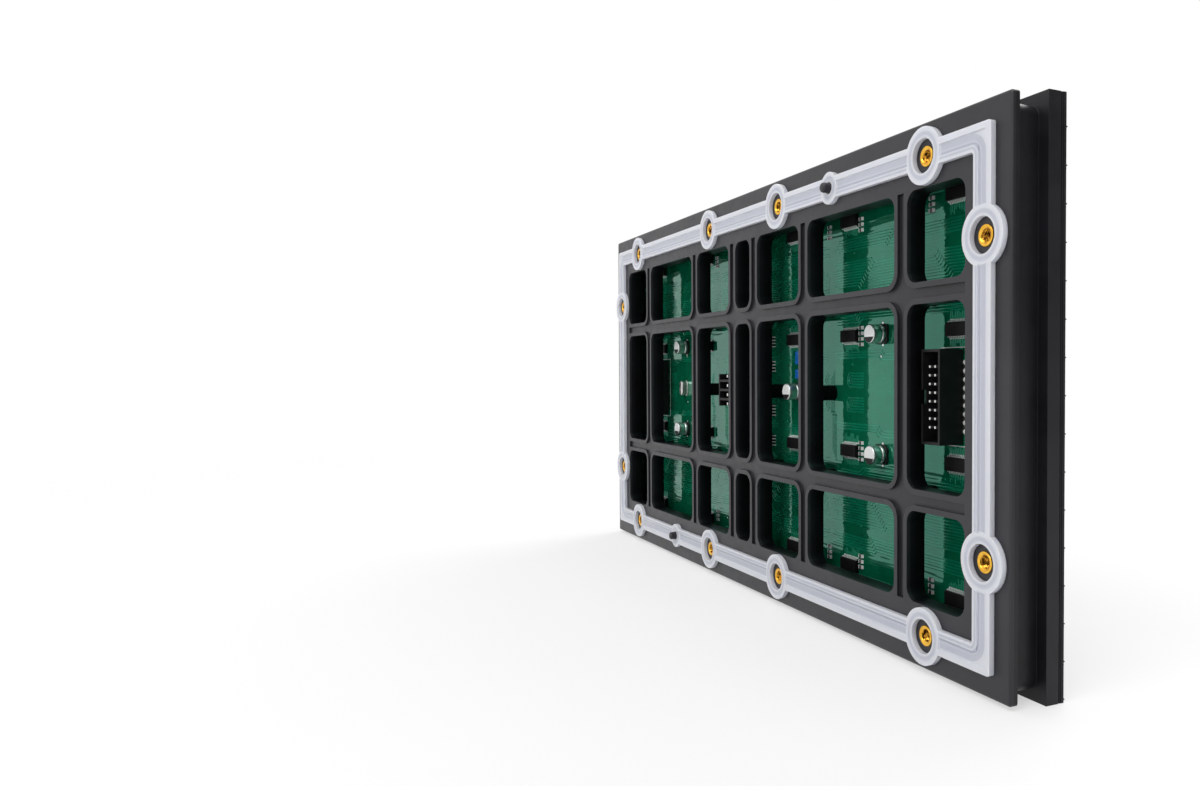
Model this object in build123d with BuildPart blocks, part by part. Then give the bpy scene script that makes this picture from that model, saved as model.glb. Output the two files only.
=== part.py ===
from build123d import *
from math import hypot
import os

# LED display module for outdoor walls, 32 by 16 pixels, in millimetres.
# X runs along the long side and Z runs up. The origin is the centre of the rear sealing face:
# the lamps look towards -Y and the cabinet stands behind the module at +Y.
# A depth is a distance in front of the sealing face, so depth d lies at Y = -d.

# Pixel grid and outline
pixel_pitch = 10.0
pixel_columns = 32
pixel_rows = 16
tiling_gap = 0.5
module_width = pixel_columns * pixel_pitch - tiling_gap
module_height = pixel_rows * pixel_pitch - tiling_gap

# Rear flange, recessed waist and front rim of the housing
flange_thickness = 2.45
flange_step = 1.0
flange_corner = 1.0
flange_edge_round = 0.8
waist_depth_ends = 3.65
waist_depth_sides = 2.75
waist_corner = 3.5
waist_wall = 2.0
rim_start = 11.2
rim_wall = 1.35
board_seat = 12.7
housing_front = 15.4

# Cell block behind the circuit board
block_inset = 17.8
block_depth = 6.55
cell_rim = 1.7
cell_corner = 4.0
column_wall = 6.6
column_wall_pitches = (-11, -5, -1, 1, 5, 11)
row_wall = 6.4
row_wall_pitches = 3
row_wall_offset = 3.0
recess_depth = 1.0

# Threaded inserts and locating pegs
seal_inset = 10.9
insert_x_outer = 123.0
insert_x_inner = 31.7
insert_z_side = 43.0
insert_diameter = 5.9
insert_thread_bore = 3.3
insert_length = 8.0
insert_proud = 0.35
insert_lead_in = 0.4
insert_play = 0.02
boss_diameter = 9.0
boss_depth = 9.5
peg_x = 70.5
peg_diameter = 3.4
peg_height = 4.4
peg_tip_round = 0.9
peg_root_diameter = 3.8
peg_root_above_gasket = 0.1

# Sealing gasket
gasket_width = 7.1
gasket_proud = 1.55
gasket_groove = 1.0
gasket_play = 0.1
gasket_channel_width = 3.4
gasket_channel_depth = 0.35
gasket_channel_into_ring = 0.5
gasket_corner = 1.0
gasket_blend = 2.0
ring_diameter = 16.5
ring_hole = 10.0
peg_ring_diameter = 10.7
peg_ring_play = 0.1

# Circuit board
board_thickness = 1.6
board_play = 0.2
board_front = board_seat + board_thickness

# Mask halves
mask_front = 17.4
mask_plug_play = 0.4
mask_seam = 0.1
visor_drop = 4.2
visor_thickness = 0.8
visor_reach = 0.7
visor_end = 0.4

# Lamps
lamp_side = 3.4
lamp_proud = 0.3

# Posts that take the mask screws
post_diameter = 5.5
post_columns = (1, 5, 11, 15)
post_rows = (3, 7)

# Box headers for the signal cables
header_x = 119.6
header_width = 8.8
header_length = 28.0
header_height = 8.8
header_wall = 0.8
header_floor = 2.4
header_notch = 4.2
header_notch_depth = 5.0
header_pins_per_row = 8
header_pin_pitch = 2.54
header_pin_side = 0.64
header_pin_below_rim = 0.7
lead_thickness = 0.4
header_lead_reach = 1.4

# Power connector
power_x = 27.0
power_width = 13.6
power_length = 13.8
power_height = 8.0
power_wall = 1.0
power_floor = 2.0
power_pins = 4
power_pin_pitch = 3.96
power_pin_side = 1.14
power_pin_below_rim = 1.0

# Driver and buffer chips
driver_length = 10.0
driver_width = 4.2
driver_height = 1.7
driver_lead_span = 6.0
driver_standoff = 0.1
driver_x = (-122.0, -62.2, -22.0, 22.0, 62.2, 122.0)
driver_z = (20.0, 60.0)
buffer_x = -1.5
buffer_z = (19.8, 9.9, -7.9, -20.0)
buffer_length = 4.9
buffer_width = 3.9
buffer_lead_span = 6.2

# Capacitors, crystal and chip parts
can_diameter = 6.3
can_height = 4.7
can_base_side = 6.6
can_base_height = 1.0
can_base_cut = 1.2
can_crimp_depth = 0.25
can_crimp_width = 0.6
can_crimp_height = 1.0
can_places = ((-82.0, 20.0), (-82.0, -20.0), (-24.0, 0.0), (90.0, 20.0), (90.0, -20.0))
film_height = 3.0
film_width = 8.0
film_x = -30.0
film_spans = ((10.3, 15.6), (4.9, 8.7))
crystal_x = 91.3
crystal_width = 4.7
crystal_length = 8.0
crystal_height = 3.0
chip_length = 2.0
chip_width = 1.2
chip_height = 0.55
chip_spacing = 1.9
chip_groups_of_four = (
    (-68.6, 19.8),
    (-68.6, -19.8),
)
chip_groups_of_three = (
    (-68.6, 58.0),
    (-68.6, -58.0),
    (-47.5, 58.0),
    (-47.5, -58.0),
    (-108.5, 58.5),
    (-108.5, -58.5),
    (53.0, 58.0),
    (53.0, -58.0),
    (104.0, 20.0),
    (104.0, -20.0),
)

# Places worked out from the sizes above
half_width = module_width / 2
half_height = module_height / 2
seal_x = half_width - seal_inset
seal_z = half_height - seal_inset
block_x = half_width - block_inset
block_z = half_height - block_inset
inner_row_end = row_wall_pitches * pixel_pitch - row_wall_offset
outer_row_start = inner_row_end + row_wall

insert_places = [
    (sx * x, sz * z)
    for x, z in (
        (insert_x_outer, seal_z),
        (insert_x_inner, seal_z),
        (seal_x, insert_z_side),
    )
    for sx in (-1, 1)
    for sz in (-1, 1)
]
peg_places = [(-peg_x, seal_z), (peg_x, -seal_z)]

column_walls = [pitches * pixel_pitch for pitches in column_wall_pitches]
cell_left_edges = [-block_x + cell_rim] + [x + column_wall / 2 for x in column_walls]
cell_right_edges = [x - column_wall / 2 for x in column_walls] + [block_x - cell_rim]
cell_columns = list(zip(cell_left_edges, cell_right_edges))
cell_rows = [
    (-block_z + cell_rim, -outer_row_start),
    (-inner_row_end, inner_row_end),
    (outer_row_start, block_z - cell_rim),
]
cells = [(left, right, low, high) for left, right in cell_columns for low, high in cell_rows]

post_places = [
    (sx * column * pixel_pitch, sz * row * pixel_pitch)
    for column in post_columns
    for row in post_rows
    for sx in (-1, 1)
    for sz in (-1, 1)
]
post_places += [(sx * column * pixel_pitch, 0) for column in post_columns[:2] for sx in (-1, 1)]

pixel_places = [
    (
        (column - (pixel_columns - 1) / 2) * pixel_pitch,
        (row - (pixel_rows - 1) / 2) * pixel_pitch,
    )
    for column in range(pixel_columns)
    for row in range(pixel_rows)
]
pixel_row_heights = [
    (row - (pixel_rows - 1) / 2) * pixel_pitch for row in range(pixel_rows)
]

chip_places = [
    (x, z + (number - (count - 1) / 2) * chip_spacing)
    for count, groups in ((4, chip_groups_of_four), (3, chip_groups_of_three))
    for x, z in groups
    for number in range(count)
]

os.makedirs("parts", exist_ok=True)


def level(depth):
    """Plane parallel to the sealing face. Its sketches read X across and Z up."""
    return Plane.XZ.offset(depth)


def span(left, right, low, high, corner=0.0, mode=Mode.ADD):
    """Rectangle between four limits, with rounded corners if asked."""
    with Locations(((left + right) / 2, (low + high) / 2)):
        if corner:
            RectangleRounded(right - left, high - low, corner, mode=mode)
        else:
            Rectangle(right - left, high - low, mode=mode)


def round_off_ring_joints(sketch, places, ring_radius, radius):
    """Blend the inside corners where each ring leaves the straight band."""
    corners = [
        corner
        for corner in sketch.vertices()
        if any(
            abs(hypot(corner.X - x, corner.Z - z) - ring_radius) < 0.01
            and not (abs(corner.Z - z) < 0.01 or abs(corner.X - x) < 0.01)
            for x, z in places
        )
    ]
    fillet(corners, radius=radius)


def seal_band(width, corner, grow):
    """Straight band of the gasket round the whole module."""
    reach = (width + grow) / 2
    RectangleRounded(2 * (seal_x + reach), 2 * (seal_z + reach), corner)
    RectangleRounded(2 * (seal_x - reach), 2 * (seal_z - reach), corner, mode=Mode.SUBTRACT)


def seal_outline(grow=0.0):
    """Outline of the gasket, or of its groove where it is grown by the play."""
    with BuildSketch(Plane.XZ, mode=Mode.PRIVATE) as outline:
        seal_band(gasket_width, gasket_corner, 2 * grow)
        with Locations(*insert_places):
            Circle(ring_diameter / 2 + grow)
        with Locations(*peg_places):
            Circle(peg_ring_diameter / 2 + grow)
        round_off_ring_joints(outline, insert_places, ring_diameter / 2 + grow, gasket_blend)
        round_off_ring_joints(outline, peg_places, peg_ring_diameter / 2 + grow, gasket_blend)
        with Locations(*insert_places):
            Circle(ring_hole / 2 - grow, mode=Mode.SUBTRACT)
        with Locations(*peg_places):
            Circle(peg_root_diameter / 2 + peg_ring_play - grow, mode=Mode.SUBTRACT)
    return outline


# Housing: one moulding that carries the seal, the inserts, the board and the mask
with BuildPart() as housing:
    with BuildSketch(level(0)):
        RectangleRounded(
            module_width - 2 * flange_step, module_height - 2 * flange_step, flange_corner
        )
    extrude(amount=flange_thickness)
    fillet(housing.faces().sort_by(Axis.Y)[-1].edges(), radius=flange_edge_round)
    with BuildSketch(level(flange_thickness)):
        RectangleRounded(
            module_width - 2 * waist_depth_ends,
            module_height - 2 * waist_depth_sides,
            waist_corner,
        )
    extrude(amount=rim_start - flange_thickness)
    with BuildSketch(level(rim_start)):
        Rectangle(module_width, module_height)
    extrude(amount=housing_front - rim_start)

    # Hollow inside the waist, open to the front through the board's seat
    with BuildSketch(level(flange_thickness)):
        RectangleRounded(
            module_width - 2 * (waist_depth_ends + waist_wall),
            module_height - 2 * (waist_depth_sides + waist_wall),
            waist_corner - waist_wall,
        )
    extrude(amount=housing_front - flange_thickness, mode=Mode.SUBTRACT)
    with BuildSketch(level(board_seat)):
        Rectangle(module_width - 2 * rim_wall, module_height - 2 * rim_wall)
    extrude(amount=housing_front - board_seat, mode=Mode.SUBTRACT)

    # Cell block, screw posts and insert bosses stand on the plate
    with BuildSketch(level(flange_thickness)):
        Rectangle(2 * block_x, 2 * block_z)
    extrude(amount=block_depth - flange_thickness)
    with BuildSketch(level(flange_thickness)):
        with Locations(*post_places):
            Circle(post_diameter / 2)
    extrude(amount=board_seat - flange_thickness)
    with BuildSketch(level(flange_thickness)):
        with Locations(*insert_places):
            Circle(boss_diameter / 2)
    extrude(amount=boss_depth - flange_thickness)

    # Cells right through the block
    with BuildSketch(level(0)):
        for left, right, low, high in cells:
            span(left, right, low, high, cell_corner)
    extrude(amount=block_depth, mode=Mode.SUBTRACT)

    # Recess between the cells, which leaves a raised rim round each one. Towards the edge of the
    # block the rims run out straight
    with BuildSketch(level(0)):
        outer_x = block_x - cell_rim
        outer_z = block_z - cell_rim
        span(-outer_x, outer_x, -outer_z, outer_z)
        for left, right, low, high in cells:
            near = left - cell_rim
            far = right + cell_rim
            under = low - cell_rim
            over = high + cell_rim
            span(near, far, under, over, cell_corner + cell_rim, mode=Mode.SUBTRACT)
            if high > inner_row_end:
                span(near, far, (low + high) / 2, over, mode=Mode.SUBTRACT)
            if low < -inner_row_end:
                span(near, far, under, (low + high) / 2, mode=Mode.SUBTRACT)
            if left < column_walls[0]:
                span(near, (left + right) / 2, under, over, mode=Mode.SUBTRACT)
            if right > column_walls[-1]:
                span((left + right) / 2, far, under, over, mode=Mode.SUBTRACT)
    extrude(amount=recess_depth, mode=Mode.SUBTRACT)

    # Groove of the seal, bores of the inserts and the locating pegs
    with BuildSketch(level(0)):
        add(seal_outline(gasket_play).sketch)
    extrude(amount=gasket_groove, mode=Mode.SUBTRACT)
    with BuildSketch(level(0)):
        with Locations(*insert_places):
            Circle(insert_diameter / 2 + insert_play)
    extrude(amount=insert_length - insert_proud, mode=Mode.SUBTRACT)
    with BuildSketch(level(gasket_groove)):
        with Locations(*peg_places):
            Circle(peg_root_diameter / 2)
    extrude(amount=-gasket_groove - gasket_proud - peg_root_above_gasket)
    with BuildSketch(level(-gasket_proud - peg_root_above_gasket)):
        with Locations(*peg_places):
            Circle(peg_diameter / 2)
    extrude(amount=gasket_proud + peg_root_above_gasket - peg_height)
    peg_tips = housing.edges().filter_by(GeomType.CIRCLE).group_by(Axis.Y)[-1]
    fillet(peg_tips, radius=peg_tip_round)
housing.part.label = "housing"
export_step(housing.part, "parts/housing.step")

# Gasket: soft band with a ring round every insert and peg. A shallow channel runs along the back
# of the band from ring to ring
with BuildPart() as sealing_gasket:
    with BuildSketch(level(gasket_groove)):
        add(seal_outline().sketch)
    extrude(amount=-gasket_groove - gasket_proud)
    with BuildSketch(level(-gasket_proud)):
        seal_band(gasket_channel_width, gasket_corner, 0)
        with Locations(*insert_places):
            Circle(ring_diameter / 2 - gasket_channel_into_ring, mode=Mode.SUBTRACT)
        with Locations(*peg_places):
            Circle(peg_ring_diameter / 2 - gasket_channel_into_ring, mode=Mode.SUBTRACT)
    extrude(amount=gasket_channel_depth, mode=Mode.SUBTRACT)
sealing_gasket.part.label = "sealing_gasket"
export_step(sealing_gasket.part, "parts/sealing_gasket.step")

# Inserts: blind brass sleeves that stand a little proud of the plate
with BuildPart() as threaded_inserts:
    with BuildSketch(level(-insert_proud)):
        with Locations(*insert_places):
            Circle(insert_diameter / 2)
            Circle(insert_thread_bore / 2, mode=Mode.SUBTRACT)
    extrude(amount=insert_length)
    mouths = (
        threaded_inserts.edges()
        .filter_by(GeomType.CIRCLE)
        .filter_by(lambda edge: edge.radius < insert_diameter / 2)
        .group_by(Axis.Y)[-1]
    )
    chamfer(mouths, length=insert_lead_in)
threaded_inserts.part.label = "threaded_inserts"
export_step(threaded_inserts.part, "parts/threaded_inserts.step")

# Circuit board on its seat in the front rim
with BuildPart() as circuit_board:
    with BuildSketch(level(board_seat)):
        Rectangle(
            module_width - 2 * (rim_wall + board_play),
            module_height - 2 * (rim_wall + board_play),
        )
    extrude(amount=board_thickness)
circuit_board.part.label = "circuit_board"
export_step(circuit_board.part, "parts/circuit_board.step")


def mask_half(side):
    """Half of the front mask, on the +X side for 1 and on the -X side for -1."""
    inner = mask_seam / 2
    with BuildPart() as half:
        with BuildSketch(level(board_front)):
            plug_x = half_width - rim_wall - mask_plug_play
            plug_z = half_height - rim_wall - mask_plug_play
            span(*sorted((side * inner, side * plug_x)), -plug_z, plug_z)
        extrude(amount=housing_front - board_front)
        with BuildSketch(level(housing_front)):
            span(*sorted((side * inner, side * half_width)), -half_height, half_height)
        extrude(amount=mask_front - housing_front)
        with BuildSketch(level(mask_front)):
            for height in pixel_row_heights:
                top = height - visor_drop + visor_thickness / 2
                bottom = max(top - visor_thickness, -half_height)
                ends = sorted((side * inner, side * (half_width - visor_end)))
                span(*ends, bottom, top)
        extrude(amount=visor_reach)
    return half


mask_left = mask_half(-1)
mask_left.part.label = "mask_left"
export_step(mask_left.part, "parts/mask_left.step")

mask_right = mask_half(1)
mask_right.part.label = "mask_right"
export_step(mask_right.part, "parts/mask_right.step")

# Lamps: the square head of each one stands on the face of the mask
with BuildPart() as led_lamps:
    with BuildSketch(level(mask_front)):
        with Locations(*pixel_places):
            Rectangle(lamp_side, lamp_side)
    extrude(amount=lamp_proud)
led_lamps.part.label = "led_lamps"
export_step(led_lamps.part, "parts/led_lamps.step")


def header_pin_places(side):
    """Centres of the two rows of pins of the header on that side."""
    return [
        (
            side * (header_x + row * header_pin_pitch),
            (number - (header_pins_per_row - 1) / 2) * header_pin_pitch,
        )
        for row in (-0.5, 0.5)
        for number in range(header_pins_per_row)
    ]


def header_shell(side):
    """Box header with a key notch on the side that faces the middle of the module."""
    bottom = board_seat - lead_thickness
    rim = board_seat - header_height
    middle = side * header_x
    with BuildPart() as shell:
        with BuildSketch(level(bottom)):
            with Locations((middle, 0)):
                Rectangle(header_width, header_length)
        extrude(amount=rim - bottom)
        with BuildSketch(level(rim)):
            with Locations((middle, 0)):
                Rectangle(header_width - 2 * header_wall, header_length - 2 * header_wall)
        extrude(amount=bottom - rim - header_floor, mode=Mode.SUBTRACT)
        with BuildSketch(level(rim)):
            with Locations((middle - side * (header_width - header_wall) / 2, 0)):
                Rectangle(header_wall, header_notch)
        extrude(amount=header_notch_depth, mode=Mode.SUBTRACT)
        with BuildSketch(level(rim)):
            with Locations(*header_pin_places(side)):
                Rectangle(header_pin_side, header_pin_side)
        extrude(amount=bottom - rim, mode=Mode.SUBTRACT)
    return shell


def header_pins(side):
    """Square pins of a box header, each with a foot that runs out over the board."""
    tip = board_seat - header_height + header_pin_below_rim
    reach = header_width / 2 + header_lead_reach
    with BuildPart() as pins:
        with BuildSketch(level(board_seat)):
            for x, z in header_pin_places(side):
                inner = x - header_pin_side / 2
                outer = x + header_pin_side / 2
                if x > side * header_x:
                    outer = side * header_x + reach
                else:
                    inner = side * header_x - reach
                span(inner, outer, z - header_pin_side / 2, z + header_pin_side / 2)
        extrude(amount=-lead_thickness)
        with BuildSketch(level(board_seat)):
            with Locations(*header_pin_places(side)):
                Rectangle(header_pin_side, header_pin_side)
        extrude(amount=tip - board_seat)
    return pins


input_header = header_shell(-1)
input_header.part.label = "input_header"
export_step(input_header.part, "parts/input_header.step")

input_header_pins = header_pins(-1)
input_header_pins.part.label = "input_header_pins"
export_step(input_header_pins.part, "parts/input_header_pins.step")

output_header = header_shell(1)
output_header.part.label = "output_header"
export_step(output_header.part, "parts/output_header.step")

output_header_pins = header_pins(1)
output_header_pins.part.label = "output_header_pins"
export_step(output_header_pins.part, "parts/output_header_pins.step")

# Power connector: an open box with a partition between neighbouring pins
power_pin_places = [
    (power_x, (number - (power_pins - 1) / 2) * power_pin_pitch) for number in range(power_pins)
]
with BuildPart() as power_connector:
    with BuildSketch(level(board_seat)):
        with Locations((power_x, 0)):
            Rectangle(power_width, power_length)
    extrude(amount=-power_height)
    with BuildSketch(level(board_seat - power_height)):
        with Locations(*power_pin_places):
            Rectangle(power_width - 2 * power_wall, power_pin_pitch - power_wall)
    extrude(amount=power_height - power_floor, mode=Mode.SUBTRACT)
    with BuildSketch(level(board_seat)):
        with Locations(*power_pin_places):
            Rectangle(power_pin_side, power_pin_side)
    extrude(amount=-power_height, mode=Mode.SUBTRACT)
power_connector.part.label = "power_connector"
export_step(power_connector.part, "parts/power_connector.step")

with BuildPart() as power_connector_pins:
    with BuildSketch(level(board_seat)):
        with Locations(*power_pin_places):
            Rectangle(power_pin_side, power_pin_side)
    extrude(amount=power_pin_below_rim - power_height)
power_connector_pins.part.label = "power_connector_pins"
export_step(power_connector_pins.part, "parts/power_connector_pins.step")

# Driver chips, with each row of leads as one strip on either side of the body
driver_places = [(x, side * z) for x in driver_x for z in driver_z for side in (-1, 1)]
with BuildPart() as driver_chips:
    with BuildSketch(level(board_seat - driver_standoff)):
        with Locations(*driver_places):
            Rectangle(driver_length, driver_width)
    extrude(amount=driver_standoff - driver_height)
driver_chips.part.label = "driver_chips"
export_step(driver_chips.part, "parts/driver_chips.step")

with BuildPart() as driver_chip_leads:
    with BuildSketch(level(board_seat)):
        strip = (driver_lead_span - driver_width) / 2
        for x, z in driver_places:
            for side in (-1, 1):
                with Locations((x, z + side * (driver_width + strip) / 2)):
                    Rectangle(driver_length, strip)
    extrude(amount=-lead_thickness)
driver_chip_leads.part.label = "driver_chip_leads"
export_step(driver_chip_leads.part, "parts/driver_chip_leads.step")

# Buffer chips in the middle column, with their leads along X
with BuildPart() as buffer_chips:
    with BuildSketch(level(board_seat - driver_standoff)):
        with Locations(*[(buffer_x, z) for z in buffer_z]):
            Rectangle(buffer_width, buffer_length)
    extrude(amount=driver_standoff - driver_height)
buffer_chips.part.label = "buffer_chips"
export_step(buffer_chips.part, "parts/buffer_chips.step")

with BuildPart() as buffer_chip_leads:
    with BuildSketch(level(board_seat)):
        strip = (buffer_lead_span - buffer_width) / 2
        for z in buffer_z:
            for side in (-1, 1):
                with Locations((buffer_x + side * (buffer_width + strip) / 2, z)):
                    Rectangle(strip, buffer_length)
    extrude(amount=-lead_thickness)
buffer_chip_leads.part.label = "buffer_chip_leads"
export_step(buffer_chip_leads.part, "parts/buffer_chip_leads.step")

# Electrolytic capacitors: a can with a crimped neck on a square base with two cut corners
with BuildPart() as capacitor_bases:
    with BuildSketch(level(board_seat)):
        with Locations(*can_places):
            Rectangle(can_base_side, can_base_side)
    extrude(amount=-can_base_height)
    uprights = capacitor_bases.edges().filter_by(Axis.Y)
    cut_corners = [
        min(uprights, key=lambda edge: hypot(edge.center().X - x, edge.center().Z - z))
        for middle_x, middle_z in can_places
        for x in [middle_x - can_base_side / 2]
        for z in [middle_z - can_base_side / 2, middle_z + can_base_side / 2]
    ]
    chamfer(cut_corners, length=can_base_cut)
capacitor_bases.part.label = "capacitor_bases"
export_step(capacitor_bases.part, "parts/capacitor_bases.step")

with BuildPart() as capacitor_cans:
    base_top = board_seat - can_base_height
    crimp_start = base_top - can_crimp_height
    for depth, height, inset in (
        (base_top, can_crimp_height, 0),
        (crimp_start, can_crimp_width, can_crimp_depth),
        (crimp_start - can_crimp_width, can_height - can_crimp_height - can_crimp_width, 0),
    ):
        with BuildSketch(level(depth)):
            with Locations(*can_places):
                Circle(can_diameter / 2 - inset)
        extrude(amount=-height)
capacitor_cans.part.label = "capacitor_cans"
export_step(capacitor_cans.part, "parts/capacitor_cans.step")

# Film capacitors, crystal and chip parts
with BuildPart() as film_capacitors:
    with BuildSketch(level(board_seat)):
        for low, high in film_spans:
            span(film_x - film_width / 2, film_x + film_width / 2, low, high)
    extrude(amount=-film_height)
film_capacitors.part.label = "film_capacitors"
export_step(film_capacitors.part, "parts/film_capacitors.step")

with BuildPart() as crystal:
    with BuildSketch(level(board_seat)):
        with Locations((crystal_x, 0)):
            SlotOverall(crystal_length, crystal_width, rotation=90)
    extrude(amount=-crystal_height)
crystal.part.label = "crystal"
export_step(crystal.part, "parts/crystal.step")

with BuildPart() as chip_resistors:
    with BuildSketch(level(board_seat)):
        with Locations(*chip_places):
            Rectangle(chip_length, chip_width)
    extrude(amount=-chip_height)
chip_resistors.part.label = "chip_resistors"
export_step(chip_resistors.part, "parts/chip_resistors.step")
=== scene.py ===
"""Looks of an LED display module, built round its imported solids. Sizes are in millimetres."""

import math
import random

import bmesh
import bpy
from mathutils import Euler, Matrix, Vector

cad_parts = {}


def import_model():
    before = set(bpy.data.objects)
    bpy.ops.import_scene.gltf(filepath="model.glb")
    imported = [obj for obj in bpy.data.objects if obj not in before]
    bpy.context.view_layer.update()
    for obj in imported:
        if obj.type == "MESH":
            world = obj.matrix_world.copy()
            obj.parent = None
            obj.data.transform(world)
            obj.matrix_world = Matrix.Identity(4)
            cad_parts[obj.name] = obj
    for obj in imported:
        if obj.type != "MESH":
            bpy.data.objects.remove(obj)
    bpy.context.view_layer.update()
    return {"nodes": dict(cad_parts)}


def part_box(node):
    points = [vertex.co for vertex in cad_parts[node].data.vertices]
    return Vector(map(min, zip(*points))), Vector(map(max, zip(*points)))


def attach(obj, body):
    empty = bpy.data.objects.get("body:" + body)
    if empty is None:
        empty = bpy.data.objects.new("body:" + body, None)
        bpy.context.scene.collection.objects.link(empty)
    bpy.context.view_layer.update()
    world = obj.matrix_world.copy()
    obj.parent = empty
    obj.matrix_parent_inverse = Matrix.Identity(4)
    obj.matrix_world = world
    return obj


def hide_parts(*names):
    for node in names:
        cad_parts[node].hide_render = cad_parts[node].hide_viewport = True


MM = 0.001

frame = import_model()


def box_mm(node):
    """Lowest and highest corner of a node in millimetres."""
    low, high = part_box(node)
    return [c / MM for c in low], [c / MM for c in high]


def depths(node):
    """Depths of a node's rearmost and foremost faces."""
    low, high = box_mm(node)
    return -high[1], -low[1]


def point(x, depth, z):
    """A point at a depth in front of the sealing face, as the solids count it."""
    return Vector((x, -depth, z)) * MM


def mirrored(pairs):
    """Each pair in all four quadrants."""
    places = [(sx * x, sz * z) for x, z in pairs for sx in (-1, 1) for sz in (-1, 1)]
    return sorted(set(places))


# Sizes read from the solids
HOUSING_LOW, HOUSING_HIGH = box_mm("housing")
INSERT_LOW, INSERT_HIGH = box_mm("threaded_inserts")
CRYSTAL_LOW, CRYSTAL_HIGH = box_mm("crystal")
HALF_WIDTH = HOUSING_HIGH[0]
HALF_HEIGHT = HOUSING_HIGH[2]
LAMPS_END = box_mm("led_lamps")[1][0]
SEAM = -box_mm("mask_left")[1][0]
MASK_BACK = depths("housing")[1]
VISOR_TIP = depths("mask_left")[1]
LAMP_FACE = depths("led_lamps")[1]
BOARD_REAR, BOARD_FRONT = depths("circuit_board")
INSERT_REAR, INSERT_FRONT = depths("threaded_inserts")
DRIVER_REAR = depths("driver_chips")[0]
BUFFER_REAR = depths("buffer_chips")[0]
CAN_REAR = depths("capacitor_cans")[0]
FILM_REAR = depths("film_capacitors")[0]
CRYSTAL_REAR = depths("crystal")[0]
CHIP_PART_REAR = depths("chip_resistors")[0]
HEADER_REAR = depths("input_header")[0]

# Pixel grid
PITCH = 10.0
COLUMNS = 32
ROWS = 16
PIXELS = [
    ((c - (COLUMNS - 1) / 2) * PITCH, (r - (ROWS - 1) / 2) * PITCH)
    for c in range(COLUMNS)
    for r in range(ROWS)
]
LAMP_SIDE = LAMPS_END * 2 - (COLUMNS - 1) * PITCH
LAMP_CORNER = 0.35
LAMP_STEPS = 2

# Mask. Ridge and tooth edges are counted down from the middle of a pixel
VISOR_REACH = 0.7
MASK_FRONT = VISOR_TIP - VISOR_REACH
PLUG_INSET = 1.75
WINDOW = 4.5
WINDOW_CORNER = 0.45
WINDOW_EDGE = 0.12
SUNK = 0.05
RIDGE_TOP = 3.82
RIDGE_BOTTOM = 4.2
RIDGES = ((RIDGE_TOP, RIDGE_BOTTOM, VISOR_REACH), (4.62, 4.9, 0.42))
RIDGE_END = 0.4
RIDGE_BREAK = 0.42
RIDGE_CREST = 0.12
RIDGE_SLOPE = 0.3
JOINT_REACH = 0.28
JOINT_OVERLAP = 0.2
JOINT_FREE = 0.5
# Strips of painted shadow under the ridges and round the teeth
SHADOW_STRIP_WIDTH = 0.15
SHADOW_STRIP_RAISE = 0.02
SHADOW_STRIP_MARGIN = 0.05
TOOTH_PITCH = 2.0
TOOTH_WIDTH = 0.8
TOOTH_TOP = 2.95
TOOTH_REACH = 0.55
TEETH_EACH_SIDE = 2

# Screws of the mask
SCREW_COLUMNS = (1, 5, 11, 15)
SCREW_ROWS = (3, 7)
SCREW_RADIUS = 1.3
SCREW_GAP = 0.2
SCREW_RECESS = 0.75
SCREW_STEPS = 20
SCREW_CROWN = VISOR_TIP - 0.05
SCREWS = mirrored([(c * PITCH, r * PITCH) for c in SCREW_COLUMNS for r in SCREW_ROWS])
SCREWS += mirrored([(c * PITCH, 0.0) for c in SCREW_COLUMNS[:2]])

# Inserts and pegs
INSERT_X_OUTER = 123.0
INSERT_X_INNER = 31.7
INSERT_Z_SIDE = 43.0
INSERT_RADIUS = 2.95
INSERT_STEPS = 40
THREAD_RADIUS = 1.65
THREAD_PITCH = 0.7
THREAD_DEPTH = 0.38
THREAD_TURNS = 10
THREAD_LEVELS = 6
PEG_X = 70.5
SEAL_Z = (INSERT_HIGH[2] - INSERT_LOW[2]) / 2 - INSERT_RADIUS
SEAL_X = (INSERT_HIGH[0] - INSERT_LOW[0]) / 2 - INSERT_RADIUS
INSERT_QUARTER = ((INSERT_X_OUTER, SEAL_Z), (INSERT_X_INNER, SEAL_Z), (SEAL_X, INSERT_Z_SIDE))
INSERTS = mirrored(INSERT_QUARTER)
PEGS = ((-PEG_X, SEAL_Z), (PEG_X, -SEAL_Z))

# Chips and their leads
DRIVER_X = (-122.0, -62.2, -22.0, 22.0, 62.2, 122.0)
DRIVER_Z = (20.0, 60.0)
DRIVER_LENGTH = 10.0
DRIVER_WIDTH = 4.2
DRIVER_SPAN = 6.0
DRIVER_LEADS = 12
DRIVER_LEAD_PITCH = 0.79
DRIVERS = mirrored([(x, z) for x in DRIVER_X for z in DRIVER_Z])
BUFFER_X = -1.5
BUFFER_Z = (19.8, 9.9, -7.9, -20.0)
BUFFER_LENGTH = 4.9
BUFFER_WIDTH = 3.9
BUFFER_SPAN = 6.2
CHIP_DRAFT = 0.14
LEAD_DROP = 0.75
LEAD_THICKNESS = 0.14

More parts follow.
